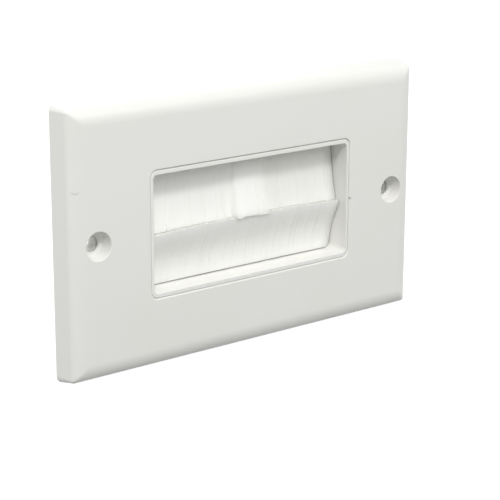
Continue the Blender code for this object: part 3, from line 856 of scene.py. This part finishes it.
for name, side in (("upper", 1), ("lower", -1)):
    low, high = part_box(f"{name}_clamp_bar")
    size = (high - low) / 2
    middle = (high + low) / 2
    centre = (middle.x, middle.z)
    bar = eased_block(f"{name}_bar", size.x, size.z, low.y, high.y, BAR_CORNER, BAR_EDGE, centre)
    holes = [bar_hole(low.y, high.y, place) for place in CLAMP_PLACES if place[1] * side > 0]
    combine(bar, "DIFFERENCE", holes)
    smooth(bar)
    finish_piece(bar, insert_plastic)
    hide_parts(f"{name}_clamp_bar")


# Clamp screws
# Four small self-tapping screws of bright plated steel hold the bars. Each has a pan head with a
# cross recess, and its thread cuts into a post of the insert.

HEAD_SIDES = 40
HEAD_RADIUS = 1.7 * MM
HEAD_HEIGHT = 1.2 * MM
HEAD_CROWN = 0.75 * MM
HEAD_EDGE = 0.12 * MM
CROWN_STEPS = 10
RECESS_HALF_LONG = 1.0 * MM
RECESS_HALF_SHORT = 0.25 * MM
RECESS_CORNER = RECESS_HALF_SHORT / 4
RECESS_DEPTH = 0.7 * MM
RECESS_TAPER = 0.45
SCREW_CORE = 0.62 * MM
POINT_LENGTH = 1.4 * MM
POINT_RADIUS = 0.15 * MM

# The thread's ridge, which runs out to these least shares of its height and width at its ends
THREAD_RADIUS = 0.8 * MM
THREAD_PITCH = 0.7 * MM
THREAD_FOOT = 0.8 * SCREW_CORE
THREAD_HALF_WIDTH = 0.3 * THREAD_PITCH
THREAD_STEPS = 20
LEAST_HEIGHT = 0.02
LEAST_WIDTH = 0.05


def recess_arm(half_x, half_z, top, centre):
    """One arm of the cross recess, narrower at its bottom."""
    rings = []
    for share, y in ((1.0, top + PAST), (1.0, top), (RECESS_TAPER, top - RECESS_DEPTH)):
        rings.append(rounded(half_x * share, half_z * share, RECESS_CORNER, y, centre))
    return skin("recess_arm", rings)


def thread_strip(start, end, centre):
    """A ridge of triangular section wound round the screw's core."""
    rings = []
    count = int(THREAD_STEPS * (end - start) / THREAD_PITCH)
    for step in range(count + 1):
        angle = math.tau * step / THREAD_STEPS
        y = start + (end - start) * step / count
        taper = min(1.0, step / THREAD_STEPS, (count - step) / THREAD_STEPS + LEAST_WIDTH)
        crest = SCREW_CORE + (THREAD_RADIUS - SCREW_CORE) * max(taper, LEAST_HEIGHT)
        width = THREAD_HALF_WIDTH * max(taper, LEAST_WIDTH)
        ring = []
        for radius, offset in ((THREAD_FOOT, -width), (crest, 0.0), (THREAD_FOOT, width)):
            x = centre[0] + radius * math.cos(angle)
            z = centre[1] + radius * math.sin(angle)
            ring.append(Vector((x, y + offset, z)))
        rings.append(ring)
    return skin("thread", rings)


def make_clamp_screw(name):
    low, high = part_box(name)
    centre = ((low.x + high.x) / 2, (low.z + high.z) / 2)
    top = high.y
    seat = top - HEAD_HEIGHT
    shank = low.y + POINT_LENGTH
    profile = [(POINT_RADIUS, low.y), (SCREW_CORE, shank), (SCREW_CORE, seat)]
    for inward, along in quarter_turn():
        profile.append((HEAD_RADIUS - HEAD_EDGE * (1 - along), seat + HEAD_EDGE * inward))
    for inward, along in quarter_turn(CROWN_STEPS):
        profile.append((HEAD_RADIUS - HEAD_CROWN * inward, top - HEAD_CROWN * (1 - along)))
    rings = [circle(radius, y, centre, HEAD_SIDES) for radius, y in profile]
    screw = skin(name.replace("clamp_screw", "pan_screw"), rings)
    flat_arm = recess_arm(RECESS_HALF_LONG, RECESS_HALF_SHORT, top, centre)
    upright_arm = recess_arm(RECESS_HALF_SHORT, RECESS_HALF_LONG, top, centre)
    combine(screw, "DIFFERENCE", [flat_arm, upright_arm])
    thread = thread_strip(shank - POINT_LENGTH / 2, seat - THREAD_PITCH / 2, centre)
    combine(screw, "UNION", [thread])
    smooth(screw)
    finish_piece(screw, screw_steel)
    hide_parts(name)


for level in ("upper", "lower"):
    for hand in ("left", "right"):
        make_clamp_screw(f"clamp_screw_{level}_{hand}")


# Wall plate
# The white cover, moulded as one shell about 2 mm thick. Its edge is a drafted side that rolls over
# into a broad bevel. It is fixed through two sunk screw holes, one near each end of the face.

plate_low, plate_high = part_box("wall_plate")
PLATE_X = plate_high.x
PLATE_Z = plate_high.z
PLATE_FRONT = plate_low.y
PLATE_WALL = 2.0 * MM
PLATE_ROOF = PLATE_FRONT + PLATE_WALL
PLATE_CORNER = 2.0 * MM
SHARPEST_CORNER = 0.7 * MM
SIDE_HEIGHT = 4.4 * MM
SIDE_DRAFT = 0.9 * MM
BEVEL_WIDTH = 5.4 * MM
BEVEL_STEPS = 24
FOOT_EDGE = 0.15 * MM
WINDOW_SEAM = 0.09 * MM
WINDOW_X = RIM_HALF_X + WINDOW_SEAM
WINDOW_Z = RIM_HALF_Z + WINDOW_SEAM
WINDOW_CORNER = RIM_CORNER + WINDOW_SEAM
WINDOW_EDGE = 0.4 * MM

# A screw hole: a steep-walled bowl, a flat seat for the screw's head, and the hole through it
BOWL_RADIUS = 3.62 * MM
BOWL_DEPTH = 3.05 * MM
BOWL_EDGE = 0.22 * MM
SEAT_RADIUS = 2.85 * MM
SEAT_FILLET = 0.15 * MM
SEAT_EDGE = 0.1 * MM
HOLE_RADIUS = 2.0 * MM

# What stands on the back: a post round each screw hole, and short ribs
PLATE_POST_RADIUS = 4.2 * MM
PLATE_POST_END = -3.14 * MM
RIB_HALF = 0.5 * MM
RIB_CORNER = RIB_HALF / 3
RIB_BACK = -2.3 * MM
RIB_PLACES = (-20.0 * MM, 20.0 * MM)

# The marks: specks as (x, z, radius, depth of tone), each with an even core, and a curved smudge.
# The smudge is the low part of a ring, and fades out upwards between two heights in radii.
SPECKS = ((33.25 * MM, -0.18 * MM, 0.5 * MM, 0.8), (16.05 * MM, -22.54 * MM, 0.4 * MM, 0.15))
SPECK_CORE = 0.3
SMUDGE_PLACE = (-54.5 * MM, 14.6 * MM)
SMUDGE_RADIUS = 0.85 * MM
SMUDGE_WIDTH = 0.4 * MM
SMUDGE_FADE = (-0.75, -0.3)
SMUDGE_DEPTH = 0.3
DIRT = (0.3, 0.3, 0.28)

PLATE_WHITE = (0.80, 0.805, 0.77)
PLATE_TINT = (0.79, 0.79, 0.75)
PLATE_ROUGHNESS = 0.3


def plate_ring(inset, y):
    """The plate's outline, drawn in by the inset."""
    corner = max(PLATE_CORNER - inset, SHARPEST_CORNER)
    return rounded(PLATE_X - inset, PLATE_Z - inset, corner, y)


def edge_pairs():
    """(inset, y) pairs from the top of the drafted side over the bevel to the flat face."""
    width = BEVEL_WIDTH - SIDE_DRAFT
    rise = -PLATE_FRONT - SIDE_HEIGHT
    turn = quarter_turn(BEVEL_STEPS)
    return [(SIDE_DRAFT + width * inward, -SIDE_HEIGHT - rise * along) for inward, along in turn]


def plate_rings():
    """Round the shell's section: up the outside, over to the window, and back down the inside."""
    rings = []
    for inward, along in quarter_turn():
        rings.append(plate_ring(FOOT_EDGE * (1 - along), -FOOT_EDGE * inward))
    outside = edge_pairs()
    rings += [plate_ring(inset, y) for inset, y in outside]
    for inward, along in quarter_turn():
        outset = WINDOW_EDGE * (1 - along)
        y = PLATE_FRONT + WINDOW_EDGE * inward
        rings.append(rounded(WINDOW_X + outset, WINDOW_Z + outset, WINDOW_CORNER + outset, y))
    rings.append(rounded(WINDOW_X, WINDOW_Z, WINDOW_CORNER, PLATE_ROOF))
    rings += [plate_ring(inset + PLATE_WALL, y + PLATE_WALL) for inset, y in outside[::-1]]
    foot = PLATE_WALL + SIDE_DRAFT * PLATE_WALL / SIDE_HEIGHT
    for inward, along in quarter_turn():
        inset = foot + FOOT_EDGE * inward - FOOT_EDGE
        rings.append(plate_ring(inset, FOOT_EDGE * along - FOOT_EDGE))
    return rings


def sunk_hole(centre):
    """A cutter for a screw hole, from the face down through the post."""
    seat = PLATE_FRONT + BOWL_DEPTH
    profile = [(BOWL_RADIUS + BOWL_EDGE, PLATE_FRONT - PAST)]
    for inward, along in quarter_turn():
        profile.append((BOWL_RADIUS + BOWL_EDGE * (1 - along), PLATE_FRONT + BOWL_EDGE * inward))
    for inward, along in quarter_turn():
        profile.append((SEAT_RADIUS - SEAT_FILLET * inward, seat - SEAT_FILLET * (1 - along)))
    profile.append((HOLE_RADIUS + SEAT_EDGE, seat))
    profile.append((HOLE_RADIUS, seat + SEAT_EDGE))
    profile.append((HOLE_RADIUS, PLATE_POST_END + PAST))
    return skin("screw_hole", [circle(radius, y, centre) for radius, y in profile])


def make_plate():
    plate = skin("plate_moulding", plate_rings(), endless=True)
    screw_places = [(sign * SCREW_X, 0.0) for sign in (-1, 1)]
    post = (PLATE_POST_RADIUS, PLATE_ROOF - PAST, PLATE_POST_END)
    added = [round_bar("plate_post", *post, place) for place in screw_places]
    start = RIM_HALF_Z + SHOULDER_WIDTH + GAP
    end = PLATE_Z - PLATE_WALL
    outline = (RIB_HALF, (end - start) / 2, RIB_CORNER)
    for x in RIB_PLACES:
        for sign in (-1, 1):
            place = (x, sign * (start + end) / 2)
            added.append(square_bar("rib", *outline, PLATE_ROOF - PAST, RIB_BACK, place))
    combine(plate, "UNION", added)
    combine(plate, "DIFFERENCE", [sunk_hole(place) for place in screw_places])
    return smooth(plate)


def calculate(tree, kind, operation, source, socket, value=None):
    """A Math or VectorMath step on the source, with the value as its second number."""
    node = tree.nodes.new(f"ShaderNode{kind}")
    node.operation = operation
    link(tree, source, socket, node, 0)
    if value is not None:
        node.inputs[1].default_value = value
    return node


def flat_offset(tree, place, x, z):
    """The way from (x, z) to a point of the surface, seen straight from the front."""
    moved = calculate(tree, "VectorMath", "SUBTRACT", place, "Object", (x, 0.0, z))
    return calculate(tree, "VectorMath", "MULTIPLY", moved, "Vector", (1.0, 0.0, 1.0))


def lay_dirt(tree, amount, socket):
    """Tints the base colour towards the dirt's colour by the amount."""
    shader = tree.nodes["Principled BSDF"]
    under = shader.inputs["Base Color"].links[0].from_socket
    over = mix_colours(tree, amount, socket, (0.0, 0.0, 0.0), DIRT)
    tree.links.new(under, over.inputs["A"])
    link(tree, over, "Result", shader, "Base Color")


def soil_plate(tree):
    """The two specks and the curved smudge on the left bevel."""
    place = tree.nodes.new("ShaderNodeTexCoord")
    for x, z, radius, depth in SPECKS:
        offset = flat_offset(tree, place, x, z)
        away = calculate(tree, "VectorMath", "LENGTH", offset, "Vector")
        speck = spread(tree, away, "Value", depth, 0.0, (SPECK_CORE * radius, radius))
        lay_dirt(tree, speck, "Result")
    offset = flat_offset(tree, place, *SMUDGE_PLACE)
    away = calculate(tree, "VectorMath", "LENGTH", offset, "Vector")
    off_line = calculate(tree, "Math", "SUBTRACT", away, "Value", SMUDGE_RADIUS)
    off_line = calculate(tree, "Math", "ABSOLUTE", off_line, "Value")
    line = spread(tree, off_line, "Value", SMUDGE_DEPTH, 0.0, (0.0, SMUDGE_WIDTH))
    parts = tree.nodes.new("ShaderNodeSeparateXYZ")
    link(tree, offset, "Vector", parts, "Vector")
    fade = [share * SMUDGE_RADIUS for share in SMUDGE_FADE]
    below = spread(tree, parts, "Z", 1.0, 0.0, fade)
    arc = calculate(tree, "Math", "MULTIPLY", line, "Result")
    link(tree, below, "Result", arc, 1)
    lay_dirt(tree, arc, "Value")


plate_plastic = moulded_plastic("plate_plastic", PLATE_WHITE, PLATE_TINT, PLATE_ROUGHNESS)
soil_plate(plate_plastic.node_tree)
plate = make_plate()
finish_piece(plate, plate_plastic)
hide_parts("wall_plate")


# Studio
# A pale floor under the plate and an even surround, both seen as plain white. Soft round lamps
# stand to the left, in front, above and behind, and all of them face the plate.

SURROUND_LIGHT = 0.46
FLOOR_DROP = 0.5 * MM
FLOOR_SIZE = 30.0
FLOOR_GREY = 0.2
FLOOR_ROUGHNESS = 0.9

# Lamps as (name, place, width, power)
LAMPS = (
    ("left_lamp", (-0.449, 0.137, 0.171), 0.22, 0.5),
    ("front_lamp", (0.252, -0.693, 0.516), 0.6, 2.45),
    ("top_lamp", (-0.258, -0.369, 0.779), 0.6, 1.7),
    ("back_lamp", (0.28, 0.62, 0.42), 0.6, 0.85),
    ("key_lamp", (-0.375, -0.517, 0.635), 0.16, 2.85),
)

CAMERA_PLACE = Vector((-0.2605, -0.3251, 0.1040))
CAMERA_AIM = Vector((-0.0016, -0.0070, -0.0088))
CAMERA_ROLL = math.radians(0.16)
CAMERA_LENS = 118.15
CAMERA_FILM = 36.0
CAMERA_NEAR = 0.01


def soft_lamp(name, place, width, power):
    lamp = bpy.data.lights.new(name, "AREA")
    lamp.shape = "DISK"
    lamp.size = width
    lamp.energy = power
    holder = add_object(name, lamp)
    holder.location = place
    holder.rotation_euler = (-Vector(place)).to_track_quat("-Z", "Y").to_euler()


def seen_directly(tree):
    """1 for rays from the camera or off or through a shiny surface, 0 for light on surfaces."""
    path = tree.nodes.new("ShaderNodeLightPath")
    either = calculate(tree, "Math", "MAXIMUM", path, "Is Camera Ray")
    link(tree, path, "Is Glossy Ray", either, 1)
    any_of = calculate(tree, "Math", "MAXIMUM", either, "Value")
    link(tree, path, "Is Transmission Ray", any_of, 1)
    return any_of


def show_white(tree, lit, seen, output):
    """Lights surfaces with the first shader and shows the second where it is seen directly."""
    choice = tree.nodes.new("ShaderNodeMixShader")
    link(tree, seen_directly(tree), "Value", choice, "Fac")
    link(tree, lit, 0, choice, 1)
    link(tree, seen, 0, choice, 2)
    link(tree, choice, "Shader", tree.nodes[output], "Surface")


def white_surround():
    world = bpy.data.worlds.new("surround")
    bpy.context.scene.world = world
    world.use_nodes = True
    tree = world.node_tree
    lit = tree.nodes["Background"]
    lit.inputs["Strength"].default_value = SURROUND_LIGHT
    lit.inputs["Color"].default_value = (1.0, 1.0, 1.0, 1.0)
    seen = tree.nodes.new("ShaderNodeBackground")
    seen.inputs["Color"].default_value = (1.0, 1.0, 1.0, 1.0)
    show_white(tree, lit, seen, "World Output")


def pale_floor():
    builder = bmesh.new()
    bmesh.ops.create_grid(builder, x_segments=1, y_segments=1, size=FLOOR_SIZE / 2)
    mesh = bpy.data.meshes.new("floor")
    builder.to_mesh(mesh)
    builder.free()
    floor = add_object("floor", mesh)
    floor.location.z = cad_box[0].z - FLOOR_DROP
    made, tree, shader = new_material("pale_floor")
    shader.inputs["Base Color"].default_value = (FLOOR_GREY, FLOOR_GREY, FLOOR_GREY, 1.0)
    shader.inputs["Roughness"].default_value = FLOOR_ROUGHNESS
    lift = tree.nodes.new("ShaderNodeEmission")
    lift.inputs["Strength"].default_value = 1.0
    lifted = tree.nodes.new("ShaderNodeAddShader")
    link(tree, shader, "BSDF", lifted, 0)
    link(tree, lift, "Emission", lifted, 1)
    show_white(tree, shader, lifted, "Material Output")
    mesh.materials.append(made)


white_surround()
pale_floor()
for lamp in LAMPS:
    soft_lamp(*lamp)

camera_data = bpy.data.cameras.new("camera")
camera_data.sensor_width = CAMERA_FILM
camera_data.lens = CAMERA_LENS
camera_data.clip_start = CAMERA_NEAR
camera = add_object("camera", camera_data)
camera.location = CAMERA_PLACE
facing = (CAMERA_AIM - CAMERA_PLACE).to_track_quat("-Z", "Y").to_matrix()
camera.rotation_euler = (facing @ Matrix.Rotation(CAMERA_ROLL, 3, "Z")).to_euler()
bpy.context.scene.camera = camera
bpy.context.scene.view_settings.view_transform = "Standard"
